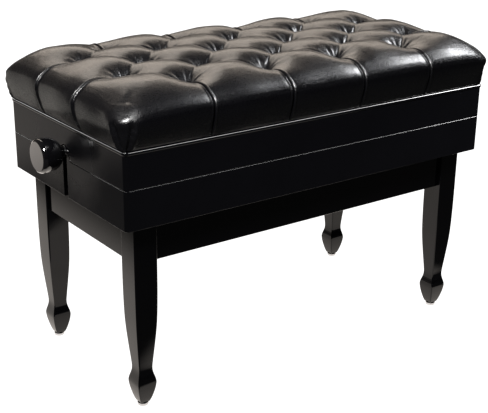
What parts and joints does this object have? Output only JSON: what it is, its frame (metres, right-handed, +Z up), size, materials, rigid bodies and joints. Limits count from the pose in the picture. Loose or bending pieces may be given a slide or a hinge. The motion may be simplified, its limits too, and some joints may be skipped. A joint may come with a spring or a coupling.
{
  "type": "piano bench",
  "caption": "Piano bench with a tufted leather cushion, lidded music tray, scissor height adjustment turned by end knobs, and tapered square legs with spade feet.",
  "frame": {"origin": "on the floor under the centre of the bench", "axes": "+X along the length of the seat to the right, +Y to the back, where the lid is hinged, +Z up"},
  "size_m": [0.8404, 0.4104, 0.5358],
  "materials": {
    "black_lacquer": "high-gloss black lacquer",
    "bare_wood": "plain, unfinished",
    "black_steel": "satin black",
    "zinc_steel": "zinc plated",
    "black_leather": "semi-gloss, fine grain",
    "hinge_brass": "satin",
    "knob_black": "high gloss"
  },
  "bodies": {
    "base": {"apron_back": "black_lacquer", "apron_front": "black_lacquer", "apron_left": "black_lacquer", "apron_right": "black_lacquer", "base_rail_back": "black_steel", "base_rail_front": "black_steel", "corner_block_back_left": "bare_wood", "corner_block_back_right": "bare_wood", "corner_block_front_left": "bare_wood", "corner_block_front_right": "bare_wood", "glide_back_left": "zinc_steel", "glide_back_right": "zinc_steel", "glide_front_left": "zinc_steel", "glide_front_right": "zinc_steel", "leg_back_left": "black_lacquer", "leg_back_right": "black_lacquer", "leg_bolt_back_left": "zinc_steel", "leg_bolt_back_right": "zinc_steel", "leg_bolt_front_left": "zinc_steel", "leg_bolt_front_right": "zinc_steel", "leg_front_left": "black_lacquer", "leg_front_right": "black_lacquer", "pivot_shaft": "zinc_steel", "shaft_bearing_left": "black_steel", "shaft_bearing_right": "black_steel"},
    "drive": {"threaded_shaft": "zinc_steel", "knob_left": "knob_black", "knob_right": "knob_black"},
    "box": {"box_back": "black_lacquer", "box_end_left": "black_lacquer", "box_end_right": "black_lacquer", "box_front": "black_lacquer", "hinge_box_left": "hinge_brass", "hinge_box_right": "hinge_brass", "lift_rail_back": "black_steel", "lift_rail_front": "black_steel", "music_tray": "bare_wood", "tray_cleat_back": "bare_wood", "tray_cleat_front": "bare_wood"},
    "lid": {"cushion": "black_leather", "hinge_lid_left": "hinge_brass", "hinge_lid_right": "hinge_brass", "lid_back": "black_lacquer", "lid_end_left": "black_lacquer", "lid_end_right": "black_lacquer", "lid_front": "black_lacquer", "seat_board": "black_lacquer"},
    "scissor_a": {"centre_pin_back": "zinc_steel", "centre_pin_front": "zinc_steel", "roller_pin_back": "zinc_steel", "roller_pin_front": "zinc_steel", "scissor_arm_a_back": "black_steel", "scissor_arm_a_front": "black_steel"},
    "scissor_b": {"lifting_pin_back": "zinc_steel", "lifting_pin_front": "zinc_steel", "scissor_arm_b_back": "black_steel", "scissor_arm_b_front": "black_steel"},
    "nut": {"nut_bar": "black_steel"}
  },
  "joints": [
    {"name": "lift", "type": "slide", "parent": "base", "child": "box", "axis": [0, 0, 1], "range_m": [0, 0.078]},
    {"name": "knob_turn", "type": "hinge", "parent": "base", "child": "drive", "pos_m": [0, 0, 0.398], "axis": [1, 0, 0], "range_deg": [0, 5620]},
    {"name": "arm_a_fold", "type": "hinge", "parent": "base", "child": "scissor_a", "pos_m": [0.125, 0, 0.366], "axis": [0, 1, 0], "range_deg": [0, 17.9]},
    {"name": "arm_b_fold", "type": "hinge", "parent": "scissor_a", "child": "scissor_b", "pos_m": [-0.00383, 0, 0.3834], "axis": [0, 1, 0], "range_deg": [-35.8, 0]},
    {"name": "nut_level", "type": "hinge", "parent": "scissor_b", "child": "nut", "pos_m": [-0.13266, 0, 0.366], "axis": [0, 1, 0], "range_deg": [0, 17.9]},
    {"name": "lid_hinge", "type": "hinge", "parent": "box", "child": "lid", "pos_m": [0, 0.194, 0.386], "axis": [-1, 0, 0], "range_deg": [0, 80]}
  ],
  "couplings": [
    {"joint": "knob_turn", "follows": "lift", "rad_per_m": 1256.6},
    {"joint": "arm_a_fold", "follows": "lift", "rad_per_m": 4},
    {"joint": "arm_b_fold", "follows": "lift", "rad_per_m": -8},
    {"joint": "nut_level", "follows": "lift", "rad_per_m": 4}
  ]
}
